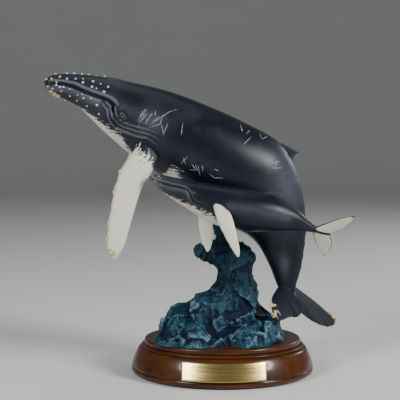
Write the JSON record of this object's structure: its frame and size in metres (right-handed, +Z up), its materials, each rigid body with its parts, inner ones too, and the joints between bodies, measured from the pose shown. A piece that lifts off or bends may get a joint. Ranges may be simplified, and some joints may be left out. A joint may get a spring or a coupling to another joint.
{
  "type": "whale and calf statuette",
  "caption": "Cast resin humpback whale with a calf at its flank, diving over a blue rock on a turned oval wooden plinth with a blank brass plate; stands on a shelf or desk.",
  "frame": {"origin": "middle of the underside of the felt, where the plinth stands", "axes": "+Z up; +X along the plinth from the whales' heads to their tails; +Y away from the front, which carries the plate"},
  "size_m": [0.3058, 0.2098, 0.3001],
  "materials": {
    "whale_paint": "cold-cast resin, hand painted blue-black, satin lacquer",
    "flipper_paint": "cold-cast resin, hand painted cream, satin lacquer",
    "rock_paint": "cold-cast resin, dry-brushed turquoise over dark blue",
    "walnut": "dark stain, gloss lacquer",
    "brass": "brushed and lacquered",
    "socket": "plain",
    "steel": "bright zinc plated",
    "felt": "felt",
    "tape": "double-sided foam tape"
  },
  "bodies": {
    "base": {"felt_base": "felt", "plinth": "walnut", "name_plate": "brass", "plate_tape": "tape", "rock": "rock_paint", "rock_screw_1": "steel", "rock_screw_2": "steel", "rock_screw_3": "steel", "rock_washer_1": "steel", "rock_washer_2": "steel", "rock_washer_3": "steel", "support_rod": "steel"},
    "whales": {"adult_body": "whale_paint", "adult_flukes": "whale_paint", "adult_left_flipper": "flipper_paint", "adult_right_flipper": "flipper_paint", "adult_left_flipper_dowel": "steel", "adult_right_flipper_dowel": "steel", "adult_fluke_dowel": "steel", "rod_socket": "socket", "calf_body": "whale_paint", "calf_flukes": "flipper_paint", "calf_left_flipper": "flipper_paint", "calf_right_flipper": "flipper_paint", "calf_left_flipper_dowel": "steel", "calf_right_flipper_dowel": "steel", "calf_fluke_dowel": "steel", "calf_pin_1": "steel", "calf_pin_2": "steel"}
  },
  "joints": [
    {"name": "whales_lift", "type": "slide", "parent": "base", "child": "whales", "axis": [0, 0, 1], "range_m": [0, 0.06]}
  ]
}
